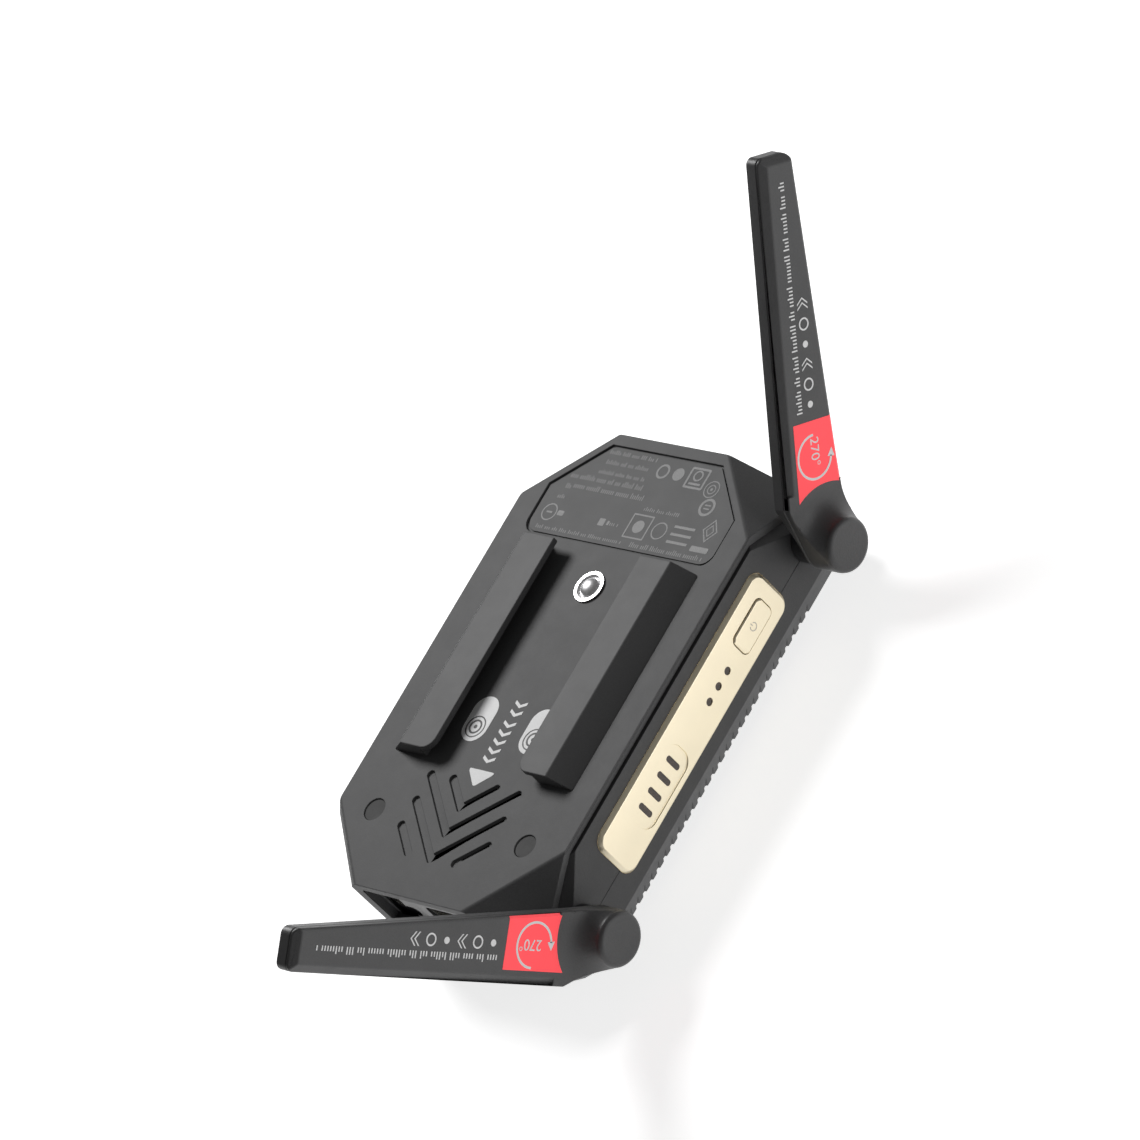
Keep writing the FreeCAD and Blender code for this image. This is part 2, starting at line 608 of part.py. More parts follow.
def antenna_plan(inset, x0, x1):
    """The paddle's outline with its rounded hinge end, extruded along X.
    Local frame: hinge axis on X, length along +Y, outer edge on +Z."""
    r = KNOB_R - inset
    slope = (ANT_IN1 - ANT_IN0) / (ANT_LEN - ANT_START)
    corner = (ANT_CORNER, ANT_OUT - inset)
    start = (ANT_START, ANT_IN0 + inset)
    tip = ANT_LEN - inset
    base_a, swing_a = tangent_angles(corner, r)
    base_b, swing_b = tangent_angles(start, r)
    a0, a1 = base_a + swing_a, base_b - swing_b
    a1 += 2 * math.pi
    mid = (a0 + a1) / 2

    def on_circle(a):
        return V(x0, r * math.cos(a), r * math.sin(a))

    tip_in = ANT_IN0 + inset + slope * (tip - ANT_START)
    round_tip = 1.6
    pts = [V(x0, start[0], start[1]), V(x0, tip - round_tip, tip_in - slope * round_tip),
           V(x0, tip, tip_in + round_tip), V(x0, tip, ANT_OUT - inset - round_tip),
           V(x0, tip - round_tip, ANT_OUT - inset), V(x0, corner[0], corner[1])]
    k = round_tip * (1 - math.sqrt(0.5))
    edges = [Part.LineSegment(pts[0], pts[1]).toShape(),
             Part.Arc(pts[1], V(x0, tip - k, tip_in + k), pts[2]).toShape(),
             Part.LineSegment(pts[2], pts[3]).toShape(),
             Part.Arc(pts[3], V(x0, tip - k, ANT_OUT - inset - k), pts[4]).toShape(),
             Part.LineSegment(pts[4], pts[5]).toShape(),
             Part.LineSegment(pts[5], on_circle(a0)).toShape(),
             Part.Arc(on_circle(a0), on_circle(mid), on_circle(a1)).toShape(),
             Part.LineSegment(on_circle(a1), pts[0]).toShape()]
    return Part.Face(Part.Wire(edges)).extrude(V(x1 - x0, 0, 0))


def antenna_form():
    """The whole paddle and knob: the plan, limited by surfaces of revolution."""
    far = ANT_LEN + 20
    sag = 1.5
    rim_r, rim_x = KNOB_R - 0.1, KNOB_X1 - KNOB_ROUND
    mid_r, mid_x = (rim_r + SCOOP_R) / 2 - sag * 0.6, (rim_x + PADDLE_X1) / 2 - sag * 0.7
    k = KNOB_ROUND * (1 - math.sqrt(0.5))
    pts = [V(KNOB_X0, 0, 0), V(KNOB_X0, KNOB_R - 0.6, 0), V(PADDLE_X0, UNDER_R, 0),
           V(PADDLE_X0, far, 0), V(PADDLE_X1, far, 0), V(PADDLE_X1, SCOOP_R, 0),
           V(rim_x, rim_r, 0), V(KNOB_X1, rim_r - KNOB_ROUND, 0), V(KNOB_X1, 0, 0)]
    edges = [Part.LineSegment(a, b).toShape() for a, b in zip(pts[:5], pts[1:6])]
    edges.append(Part.Arc(pts[5], V(mid_x, mid_r, 0), pts[6]).toShape())
    edges.append(Part.Arc(pts[6], V(KNOB_X1 - k, rim_r - k, 0), pts[7]).toShape())
    edges.append(Part.LineSegment(pts[7], pts[8]).toShape())
    edges.append(Part.LineSegment(pts[8], pts[0]).toShape())
    turned = Part.Face(Part.Wire(edges)).revolve(V(0, 0, 0), V(1, 0, 0), 360)
    form = antenna_plan(0.0, PADDLE_X0, KNOB_X1).common(turned)
    for wedge in antenna_bevels():
        form = form.cut(wedge)
    return form


def bevel_section(d, s, sign, width, drop):
    """Triangle that bevels the front edge at s, at station d; sign points out of the paddle."""
    out = 2.0
    low = PADDLE_X1 - drop - drop * out / width
    return [(PADDLE_X1, d, s - sign * width), (low, d, s + sign * out), (PADDLE_X1, d, s + sign * out)]


def antenna_bevels():
    """Wedges that bevel the front edges of the paddle's two long sides and its tip."""
    slope = (ANT_IN1 - ANT_IN0) / (ANT_LEN - ANT_START)
    run = ANT_LEN + 2 - ANT_START
    outer = prism(bevel_section(ANT_CORNER + 3, ANT_OUT, 1, ANT_BEVEL, ANT_BEVEL_DROP),
                  (0, ANT_LEN, 0))
    inner = prism(bevel_section(SCOOP_R, ANT_IN0, -1, INNER_BEVEL, INNER_BEVEL_DROP),
                  (0, run, slope * run))
    across = [(x, s, 0) for x, _, s in bevel_section(0, ANT_LEN, 1, ANT_BEVEL, ANT_BEVEL_DROP)]
    tip = prism(across, (0, 0, 40)).translate(V(0, 0, -20))
    return outer, inner, tip


def antenna_pieces():
    form = antenna_form()
    bore = rod(SPINDLE_R, (KNOB_X0 - 1, 0, 0), (1, 0, 0), 4.4)
    cavity = antenna_plan(1.3, PADDLE_X0 + 1.0, PADDLE_X1 - 1.5)
    cavity = cavity.common(box(0, 60, UNDER_R + 1, ANT_LEN, -20, 20))
    form = form.cut(bore).cut(cavity)
    back = form.common(half_space((SPLIT_X, 0, 0), (-1, 0, 0)))
    front = form.common(half_space((SPLIT_X, 0, 0), (1, 0, 0)))
    board = antenna_plan(1.6, PADDLE_X0 + 1.0, PADDLE_X0 + 1.8)
    board = board.common(box(0, 60, UNDER_R + 1.4, ANT_LEN, -20, 20))
    return front, back, board


def hinge_shaft():
    collar = rod(COLLAR_R, (HALF_W + 0.35, 0, 0), (1, 0, 0), KNOB_X0 - HALF_W - 0.35)
    stub = rod(SPINDLE_R, (KNOB_X0, 0, 0), (1, 0, 0), 3.4)
    x0 = BOSS_X0 - 2.2
    spindle = rod(SPINDLE_R, (x0, 0, 0), (1, 0, 0), HALF_W + 0.35 - x0)
    groove = tube(SPINDLE_R + 1, SPINDLE_R - 0.5, (BOSS_X0 - 0.15 - CLIP_T, 0, 0), (1, 0, 0), CLIP_T)
    bore = rod(1.0, (x0 - 1, 0, 0), (1, 0, 0), 60)
    return collar.fuse([stub, spindle]).cut(groove).cut(bore).removeSplitter()


def retaining_clip():
    ring = tube(SPINDLE_R + 1.1, SPINDLE_R - 0.5, (BOSS_X0 - 0.15 - CLIP_T, 0, 0), (1, 0, 0), CLIP_T)
    return ring.cut(box(0, 60, 0, 8, -1.2, 1.2))


def hinge_bush():
    return tube(BUSH_R, SPINDLE_R + RUN_FIT, (BOSS_X0, 0, 0), (1, 0, 0), HALF_W - BOSS_X0)


def friction_washer():
    return tube(COLLAR_R - 0.4, SPINDLE_R + 0.3, (HALF_W, 0, 0), (1, 0, 0), 0.2)


def antenna_leads():
    """Coaxial leads from the board up to the mouth of each hollow spindle."""
    leads = []
    r, bend = 0.6, 1.8
    for _, y in hinge_places():
        s = -1 if y > 0 else 1
        y_end, z_top = y + s * 12, HINGE_Z
        p0 = V(BOSS_X0 - 2.6, y, z_top)
        p1 = V(16.0 + bend, y, z_top)
        k = bend * (1 - math.sqrt(0.5))
        p2 = V(16.0, y + s * bend, z_top)
        p3 = V(16.0, y_end, z_top)
        path = [Part.LineSegment(p0, p1).toShape(),
                Part.Arc(p1, V(16.0 + k, y + s * k, z_top), p2).toShape(),
                Part.LineSegment(p2, p3).toShape()]
        ring = Part.Wire([Part.makeCircle(r, p0, V(1, 0, 0))])
        lead = Part.Wire(path).makePipeShell([ring], True, False)
        leads.append(lead)
    return leads


# ---------------------------------------------------------------- output
def main():
    os.makedirs("parts", exist_ok=True)
    for build in (front_cover, middle_frame, rear_cover, label_plate, screw_plugs, case_screws,
                  lock_sleeve, lock_ball, lock_spring, side_plate, power_button, button_switch,
                  side_board, status_light_guides, level_light_guides, port_panel, hdmi_socket,
                  usb_c_socket, main_board, board_screws, board_posts, battery_pack, battery_pad,
                  rf_shield, processor, thermal_pad, heat_sink, fan_frame, fan_rotor, dust_mesh,
                  antenna_leads):
        save(build.__name__, build())
    save("slide_rail_left", slide_rail(-1))
    save("slide_rail_right", slide_rail(1))
    front, back, board = antenna_pieces()
    turned = {"front_shell": front, "back_shell": back, "radiator": board,
              "hinge_shaft": hinge_shaft(), "retaining_clip": retaining_clip()}
    fixed = {"hinge_bush": hinge_bush(), "friction_washer": friction_washer()}
    angles = {"upper": REST_UPPER, "lower": REST_LOWER}
    for side, y in hinge_places():
        for name, shape in turned.items():
            save("antenna_" + side + "_" + name, turn_into_place(shape, y, angles[side]))
        for name, shape in fixed.items():
            save(name + "_" + side, turn_into_place(shape, y, 0.0))


main()
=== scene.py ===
import json
import math
import random

import bmesh
import bpy
from mathutils import Matrix, Vector


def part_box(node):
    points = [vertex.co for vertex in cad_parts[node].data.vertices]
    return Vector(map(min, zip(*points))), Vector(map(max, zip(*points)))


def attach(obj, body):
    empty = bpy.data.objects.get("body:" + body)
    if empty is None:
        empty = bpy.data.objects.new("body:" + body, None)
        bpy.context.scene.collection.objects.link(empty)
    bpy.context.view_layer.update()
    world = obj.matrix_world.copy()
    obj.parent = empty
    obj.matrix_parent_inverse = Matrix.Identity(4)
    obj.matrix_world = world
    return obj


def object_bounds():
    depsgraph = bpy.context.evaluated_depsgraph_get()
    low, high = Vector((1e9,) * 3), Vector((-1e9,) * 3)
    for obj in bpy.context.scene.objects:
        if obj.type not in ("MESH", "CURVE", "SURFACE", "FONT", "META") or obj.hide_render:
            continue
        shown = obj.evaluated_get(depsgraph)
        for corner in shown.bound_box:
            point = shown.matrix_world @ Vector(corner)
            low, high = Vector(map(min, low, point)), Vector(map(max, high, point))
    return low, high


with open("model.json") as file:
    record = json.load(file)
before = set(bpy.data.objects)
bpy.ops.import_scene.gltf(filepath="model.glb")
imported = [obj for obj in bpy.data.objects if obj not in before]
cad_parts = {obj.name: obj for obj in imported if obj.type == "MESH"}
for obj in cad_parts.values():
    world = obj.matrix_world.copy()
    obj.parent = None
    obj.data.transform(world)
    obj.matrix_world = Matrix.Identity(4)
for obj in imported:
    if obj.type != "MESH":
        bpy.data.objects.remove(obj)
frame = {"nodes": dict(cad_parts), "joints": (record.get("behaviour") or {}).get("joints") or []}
cad_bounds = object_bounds()
nodes = frame["nodes"]

MM = 0.001
draw = random.Random(11)

# Dimensions that repeat the CAD source, in millimetres or degrees.
PADDLE_FACE_X = 40.4         # front face of both antennas
REST_ANGLE = {"upper": 48.0, "lower": 119.6}
SCOOP_R = 12.2               # where the paddle's face starts, from the hinge axis
PADDLE_START, PADDLE_LEN = 12.0, 80.2
INNER_START, INNER_TIP = -4.0, 2.1
EDGE_BEVEL, EDGE_DROP = 0.6, 0.35
INK = 0.035                  # thickness of a print
SINK = 0.02                  # how far a print reaches into the surface below it
LABEL_INK = 0.02             # thickness of the finer prints on the label and the button
CLOUD = 14.0                 # size of the faint clouds in moulded plastic
FILM_PAINTED_GLOW = 0.45             # painted light: the red film gives off light of its own, so it looks brighter than the lamps make it
FLOOR_GLOW = 0.75            # light given off by the floor sheet
FLOOR_HALF, FLOOR_GAP = 6.0, 0.0002    # metres: half its side, and its distance below the object


def link(thing):
    """Put a new object into the scene."""
    bpy.context.scene.collection.objects.link(thing)
    return thing


# ---------------------------------------------------------------- materials
class Graph:
    """One node material around a Principled shader; sizes are in millimetres."""

    def __init__(self, name, **sockets):
        self.material = bpy.data.materials.get(name) or bpy.data.materials.new(name)
        self.material.use_nodes = True
        self.tree = self.material.node_tree
        self.tree.nodes.clear()
        self.shader = self.node("ShaderNodeBsdfPrincipled", **sockets)
        output = self.node("ShaderNodeOutputMaterial")
        self.tree.links.new(self.shader.outputs[0], output.inputs["Surface"])
        self.place = self.node("ShaderNodeTexCoord").outputs["Object"]

    def node(self, kind, **sockets):
        made = self.tree.nodes.new(kind)
        for key, value in sockets.items():
            self.put(made, key.replace("_", " "), value)
        return made

    def put(self, node, key, value):
        socket = node.inputs[key]
        if isinstance(value, bpy.types.NodeSocket):
            self.tree.links.new(value, socket)
        else:
            socket.default_value = value

    def stretch(self, x, y, z):
        return self.node("ShaderNodeMapping", Vector=self.place, Scale=(x, y, z)).outputs[0]

    def noise(self, size, detail=2.0, roughness=0.5, place=None):
        made = self.node("ShaderNodeTexNoise", Vector=place or self.place, Scale=1 / (size * MM),
                         Detail=detail, Roughness=roughness)
        return made.outputs["Fac"]

    def cells(self, size, feature="F1"):
        made = self.node("ShaderNodeTexVoronoi", Vector=self.place, Scale=1 / (size * MM))
        made.feature = feature
        return made.outputs["Distance"]

    def remap(self, value, low, high, start=0.3, end=0.7):
        made = self.node("ShaderNodeMapRange", Value=value, From_Min=start, From_Max=end,
                         To_Min=low, To_Max=high)
        return made.outputs["Result"]

    def join(self, a, b, operation="ADD"):
        made = self.node("ShaderNodeMath")
        made.operation = operation
        self.put(made, 0, a)
        self.put(made, 1, b)
        return made.outputs[0]

    def tint(self, factor, first, second):
        made = self.tree.nodes.new("ShaderNodeMix")
        made.data_type = "RGBA"
        self.put(made, 0, factor)
        for index, colour in ((6, first), (7, second)):
            if isinstance(colour, bpy.types.NodeSocket):
                self.put(made, index, colour)
            else:
                self.put(made, index, (*colour, 1.0))
        return made.outputs[2]

    def bump(self, height, depth):
        return self.node("ShaderNodeBump", Height=height, Strength=1.0, Distance=depth * MM).outputs[0]

    def finish(self, **sockets):
        for key, value in sockets.items():
            self.put(self.shader, key.replace("_", " "), value)
        return self.material


def shade(colour, factor):
    return tuple(c * factor for c in colour)


def moulded(name, colour, rough, grain, depth, spread=0.10, specular=0.5, patches=0.05):
    """Injection-moulded plastic: spark-eroded grain, faint clouds and rubbed patches."""
    g = Graph(name)
    fine = g.noise(grain, 3.0, 0.6)
    pits = g.cells(grain * 1.6)
    clouds = g.noise(CLOUD, 4.0, 0.55)
    rubbed = g.noise(CLOUD * 0.4, 5.0, 0.65)
    mottled = g.tint(g.remap(clouds, 0.0, 1.0), shade(colour, 1 - spread), shade(colour, 1 + spread))
    speckled = g.tint(g.remap(fine, 0.0, 0.35), mottled, shade(colour, 1.6))
    height = g.join(fine, g.join(pits, 0.5, "MULTIPLY"))
    gloss = g.join(g.remap(rubbed, rough - patches, rough + patches), g.remap(fine, -0.03, 0.03))
    return g.finish(Base_Color=speckled, Roughness=gloss, Specular_IOR_Level=specular,
                    Normal=g.bump(height, depth))


def metal(name, colour, rough, grain=0.12, depth=0.004, streak=None):
    """Bare or coated metal: blasted grain, or fine lines where streak gives their direction."""
    g = Graph(name, Metallic=1.0)
    place = g.stretch(*streak) if streak else None
    fine = g.noise(grain, 3.0, 0.6, place)
    clouds = g.noise(9.0, 3.0, 0.5)
    tone = g.tint(g.remap(clouds, 0.0, 1.0), shade(colour, 0.96), colour)
    tone = g.tint(g.remap(fine, 0.0, 0.25), tone, shade(colour, 0.86))
    gloss = g.join(g.remap(clouds, rough - 0.04, rough + 0.04), g.remap(fine, -0.03, 0.05))
    return g.finish(Base_Color=tone, Roughness=gloss, Normal=g.bump(fine, depth))


def printed(name, colour, rough=0.5, spread=0.06, specular=0.4, glow=0.0):
    """Screen-printed ink: slightly uneven cover over the grain below. A glow above zero paints light
    into the ink, so it shines though it is no lamp.
    """
    g = Graph(name)
    grain = g.noise(0.25, 3.0, 0.6)
    cover = g.noise(2.5, 4.0, 0.6)
    tone = g.tint(g.remap(cover, 0.0, 1.0), shade(colour, 1 - spread), colour)
    tone = g.tint(g.remap(grain, 0.0, 0.5), tone, shade(colour, 1 - 2 * spread))
    return g.finish(Base_Color=tone, Roughness=g.remap(grain, rough - 0.06, rough + 0.06),
                    Specular_IOR_Level=specular, Normal=g.bump(grain, 0.006),
                    Emission_Color=tone, Emission_Strength=glow)


def circuit(name):
    """Solder mask over copper: traces seen as a lighter grid, with round pads."""
    g = Graph(name, Coat_Weight=0.3)
    grid = g.cells(1.4, "DISTANCE_TO_EDGE")
    pads = g.cells(2.3)
    lines = g.remap(grid, 1.0, 0.0, 0.04, 0.07)
    mask = g.tint(lines, (0.012, 0.060, 0.030), (0.022, 0.105, 0.055))
    tone = g.tint(g.remap(pads, 1.0, 0.0, 0.10, 0.14), mask, (0.55, 0.42, 0.20))
    return g.finish(Base_Color=tone, Roughness=g.remap(g.noise(0.8), 0.32, 0.46),
                    Normal=g.bump(lines, 0.02))


def weave(name, colour, pitch=0.5):
    """Woven cloth: threads both ways, over and under."""
    g = Graph(name, Sheen_Weight=0.25)
    waves = []
    for turn in ((0, 0, math.radians(45)), (0, 0, math.radians(-45))):
        at = g.node("ShaderNodeMapping", Vector=g.place, Rotation=turn).outputs[0]
        wave = g.node("ShaderNodeTexWave", Vector=at, Scale=math.pi / (10 * pitch * MM), Distortion=0.4)
        waves.append(wave.outputs["Fac"])
    threads = g.join(waves[0], waves[1], "MAXIMUM")
    tone = g.tint(threads, shade(colour, 0.5), shade(colour, 1.5))
    return g.finish(Base_Color=tone, Roughness=g.remap(threads, 0.9, 0.7, 0.0, 1.0),
                    Normal=g.bump(threads, 0.05))


def smoked(name):
    """Smoked acrylic: dark brown, with moulding swirls under a polished face."""
    g = Graph(name, Coat_Weight=0.6, Coat_Roughness=0.08)
    swirl = g.noise(0.7, 3.0, 0.5)
    tone = g.tint(g.remap(swirl, 0.0, 1.0), (0.018, 0.010, 0.006), (0.060, 0.034, 0.020))
    return g.finish(Base_Color=tone, Roughness=g.remap(swirl, 0.12, 0.28), Normal=g.bump(swirl, 0.01))


COVER_GREY = (0.078, 0.078, 0.079)
FRAME_BLACK = (0.040, 0.040, 0.041)
RED = (0.92, 0.060, 0.075)
EVEN = {"specular": 0.25, "patches": 0.015}      # dull, with hardly any rubbed patches

moulded("cover_grey", COVER_GREY, 0.58, grain=0.32, depth=0.010, spread=0.04, **EVEN)
moulded("frame_black", FRAME_BLACK, 0.50, grain=0.34, depth=0.020)
moulded("rail_black", (0.074, 0.074, 0.075), 0.52, grain=0.22, depth=0.008, spread=0.04, **EVEN)
moulded("antenna_black", (0.048, 0.048, 0.049), 0.44, grain=0.34, depth=0.018)
moulded("shaft_black", (0.012, 0.012, 0.013), 0.42, grain=0.20, depth=0.008)
moulded("label_film", (0.060, 0.060, 0.061), 0.54, grain=0.18, depth=0.005, spread=0.03, **EVEN)
moulded("plug_rubber", (0.052, 0.052, 0.052), 0.68, grain=0.25, depth=0.012, specular=0.3)
moulded("port_black", (0.012, 0.012, 0.013), 0.36, grain=0.25, depth=0.010)
moulded("switch_black", (0.020, 0.020, 0.021), 0.40, grain=0.20, depth=0.006)
moulded("foam_black", (0.014, 0.014, 0.014), 0.92, grain=0.55, depth=0.12, specular=0.2)
moulded("battery_wrap", (0.030, 0.055, 0.110), 0.34, grain=0.80, depth=0.010)
moulded("lead_jacket", (0.060, 0.060, 0.062), 0.45, grain=0.30, depth=0.010)
metal("gold_anodised", (1.0, 0.90, 0.68), 0.36)
metal("steel", (0.92, 0.92, 0.93), 0.42, grain=0.20, depth=0.002)
metal("socket_steel", (0.62, 0.61, 0.58), 0.28, grain=0.30, streak=(1.0, 0.1, 1.0))
metal("spring_steel", (0.50, 0.50, 0.52), 0.30, grain=0.20)
metal("brass", (0.78, 0.58, 0.26), 0.30, grain=0.25, streak=(1.0, 6.0, 6.0))
metal("heat_sink_aluminium", (0.70, 0.71, 0.73), 0.32, grain=0.30, streak=(4.0, 0.4, 4.0))
circuit("circuit_board")
weave("mesh_fabric", (0.016, 0.016, 0.016))
smoked("lens_smoked")

white_ink = printed("white_ink", (0.80, 0.80, 0.80), 0.48)
dark_ink = printed("dark_ink", shade(COVER_GREY, 0.9), 0.55, 0.1)
grey_ink = printed("grey_ink", (0.17, 0.17, 0.17), 0.50, 0.12)
# the red film glows with painted light, beyond what the lamps give it
red_film = printed("red_film", RED, 0.42, 0.05, glow=FILM_PAINTED_GLOW)
icon_ink = printed("icon_ink", (0.62, 0.58, 0.50), 0.45)


# ---------------------------------------------------------------- softened CAD edges
def smooth_by_angle(limit):
    """A modifier group that shades smooth except across edges sharper than limit."""
    tree = bpy.data.node_groups.new("smooth_by_angle", "GeometryNodeTree")
    tree.interface.new_socket("Geometry", in_out="INPUT", socket_type="NodeSocketGeometry")
    tree.interface.new_socket("Geometry", in_out="OUTPUT", socket_type="NodeSocketGeometry")
    kinds = ("NodeGroupInput", "NodeGroupOutput", "GeometryNodeInputMeshEdgeAngle",
             "FunctionNodeCompare")
    made = {kind: tree.nodes.new(kind) for kind in kinds}
    faces = tree.nodes.new("GeometryNodeSetShadeSmooth")
    edges = tree.nodes.new("GeometryNodeSetShadeSmooth")
    edges.domain = "EDGE"
    edges.inputs["Shade Smooth"].default_value = False
    compare = made["FunctionNodeCompare"]
    compare.data_type = "FLOAT"
    compare.operation = "GREATER_THAN"
    compare.inputs[1].default_value = limit
    wire = tree.links.new
    wire(made["GeometryNodeInputMeshEdgeAngle"].outputs["Unsigned Angle"], compare.inputs[0])
    wire(made["NodeGroupInput"].outputs[0], faces.inputs["Geometry"])
    wire(faces.outputs[0], edges.inputs["Geometry"])
    wire(compare.outputs["Result"], edges.inputs["Selection"])
    wire(edges.outputs[0], made["NodeGroupOutput"].inputs[0])
    return tree


SMOOTH = smooth_by_angle(math.radians(32))


def soften(name, width, angle=24.0, segments=2):
    """Round a CAD node's edges by width millimetres where they turn by more than angle."""
    modifiers = nodes[name].modifiers
    modifiers.new("weld", "WELD").merge_threshold = 0.002 * MM
    flat = modifiers.new("flat", "DECIMATE")
    flat.decimate_type = "DISSOLVE"
    flat.angle_limit = math.radians(0.4)
    rounding = modifiers.new("round", "BEVEL")
    rounding.width = width * MM
    rounding.segments = segments
    rounding.limit_method = "ANGLE"
    rounding.angle_limit = math.radians(angle)
    rounding.use_clamp_overlap = False
    modifiers.new("smooth", "NODES").node_group = SMOOTH
    modifiers.new("level", "WEIGHTED_NORMAL").keep_sharp = True


for name, width in (("rear_cover", 0.22), ("middle_frame", 0.18), ("front_cover", 0.20),
                    ("slide_rail_left", 0.30), ("slide_rail_right", 0.30), ("label_plate", 0.10),
                    ("side_plate", 0.10), ("power_button", 0.10), ("screw_plugs", 0.12),
                    ("port_panel", 0.15)):
    soften(name, width)
for side in REST_ANGLE:
    soften("antenna_" + side + "_front_shell", 0.28, 14.0, 3)
    soften("antenna_" + side + "_back_shell", 0.28, 14.0, 3)


# ---------------------------------------------------------------- outlines for prints
def bar(x0, x1, y0, y1, r=0.0, steps=6):
    """A rectangle, with corners of radius r."""
    if r == 0.0:
        return [(x0, y0), (x1, y0), (x1, y1), (x0, y1)]
    corners = ((x1 - r, y0 + r, -90), (x1 - r, y1 - r, 0), (x0 + r, y1 - r, 90), (x0 + r, y0 + r, 180))
    return [(cx + r * math.cos(math.radians(start + 90.0 * i / steps)),
             cy + r * math.sin(math.radians(start + 90.0 * i / steps)))
            for cx, cy, start in corners for i in range(steps + 1)]


def arc(cx, cy, r, start, end, steps):
    return [(cx + r * math.cos(math.radians(start + (end - start) * i / steps)),
             cy + r * math.sin(math.radians(start + (end - start) * i / steps)))
            for i in range(steps + 1)]


def band(cx, cy, r, width, start, end):
    """Part of a ring, as one outline."""
    steps = max(8, int(abs(end - start) / 7))
    return (arc(cx, cy, r + width / 2, start, end, steps)
            + arc(cx, cy, r - width / 2, end, start, steps))


def ring(cx, cy, r, width):
    return [band(cx, cy, r, width, 0, 180), band(cx, cy, r, width, 180, 360)]


def disc(cx, cy, r):
    return arc(cx, cy, r, 0, 352.5, 47)


def frame_of(outline_in, outline_out):
    """The strip between two outlines that have the same number of corners."""
    count = len(outline_in)
    return [[outline_out[i], outline_out[(i + 1) % count], outline_in[(i + 1) % count], outline_in[i]]
            for i in range(count)]


def hollow_bar(x0, x1, y0, y1, r, width):
    return frame_of(bar(x0 + width, x1 - width, y0 + width, y1 - width, max(r - width, 0.05)),
                    bar(x0, x1, y0, y1, r))


def hollow_shape(points, width):
    """A closed line of straight strokes, drawn inside the corner points."""
    cx = sum(p[0] for p in points) / len(points)
    cy = sum(p[1] for p in points) / len(points)
    reach = max(math.hypot(x - cx, y - cy) for x, y in points)
    k = 1 - 2 * width / reach
    inner = [(cx + (x - cx) * k, cy + (y - cy) * k) for x, y in points]
    return frame_of(inner, points)


def chevron(cx, y, half, run, width):
    """A V that points down (-y) from (cx, y)."""
    return [(cx, y), (cx + half, y + run), (cx + half, y + run + width), (cx, y + width),
            (cx - half, y + run + width), (cx - half, y + run)]


def ticks(x0, x1, y, height, pitch=0.55):
    """A run of plain strokes in groups, which says nothing."""
    stroke, gap = pitch * 0.42, pitch * 0.9
    shapes, x = [], x0
    while x < x1 - pitch:
        for _ in range(draw.randint(3, 8)):
            if x > x1 - pitch:
                break
            tall = height * draw.choice((0.68, 0.68, 1.0))
            shapes.append(bar(x, x + stroke, y, y + tall))
            x += pitch
        x += gap
    return shapes


# ---------------------------------------------------------------- prints on flat places
class Flat:
    """A flat place on the object: origin and two directions in the row frame."""

    def __init__(self, origin, across, up):
        self.origin, self.across, self.up = Vector(origin), Vector(across), Vector(up)
        self.out = self.across.cross(self.up)

    def at(self, x, y, height):
        return self.origin + (self.across * x + self.up * y + self.out * height) * MM


def add_piece(name, mesh, material, body):
    """A new object that rides on a body."""
    mesh.materials.append(material)
    piece = link(bpy.data.objects.new(name, mesh))
    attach(piece, body)


def add_print(name, shapes, place, material, body, height=INK, drop=None):
    """Thin raised shapes on a flat place; drop(x, y) is how far the surface falls away there."""
    mesh = bpy.data.meshes.new(name)
    made = bmesh.new()
    for outline in shapes:
        levels = []
        for level in (-SINK, height):
            levels.append([made.verts.new(place.at(x, y, level - (drop(x, y) if drop else 0.0)))
                           for x, y in outline])
        low, high = levels
        made.faces.new(high)
        made.faces.new(low[::-1])
        for i in range(len(low)):
            j = (i + 1) % len(low)
            made.faces.new((low[i], low[j], high[j], high[i]))
    bmesh.ops.recalc_face_normals(made, faces=made.faces)
    made.to_mesh(mesh)
    made.free()
    add_piece(name, mesh, material, body)


def add_number(name, text, place, x, y, size, turn, material, body):
    """A raised number on top of a print, its middle at (x, y), turned in the plane by turn degrees."""
    curve = bpy.data.curves.new(name, "FONT")
    curve.body = text
    curve.size = size
    curve.align_x, curve.align_y = "CENTER", "CENTER"
    curve.extrude = (INK + SINK) / 2
    shown = link(bpy.data.objects.new(name, curve))
    bpy.context.view_layer.update()
    mesh = bpy.data.meshes.new_from_object(shown)
    bpy.data.objects.remove(shown)
    spin = Matrix.Rotation(math.radians(turn), 3, "Z")
    for v in mesh.vertices:
        flat = spin @ v.co
        v.co = place.at(x + flat.x, y + flat.y, v.co.z + INK + (INK - SINK) / 2)
    mesh.materials.clear()
    add_piece(name, mesh, material, body)


back = Flat((0, 0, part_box("rear_cover")[1].z), (1, 0, 0), (0, 1, 0))
label = Flat((0, 0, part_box("label_plate")[1].z), (1, 0, 0), (0, 1, 0))
button_face = Flat((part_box("power_button")[1].x, 0, 0), (0, 1, 0), (0, 0, 1))

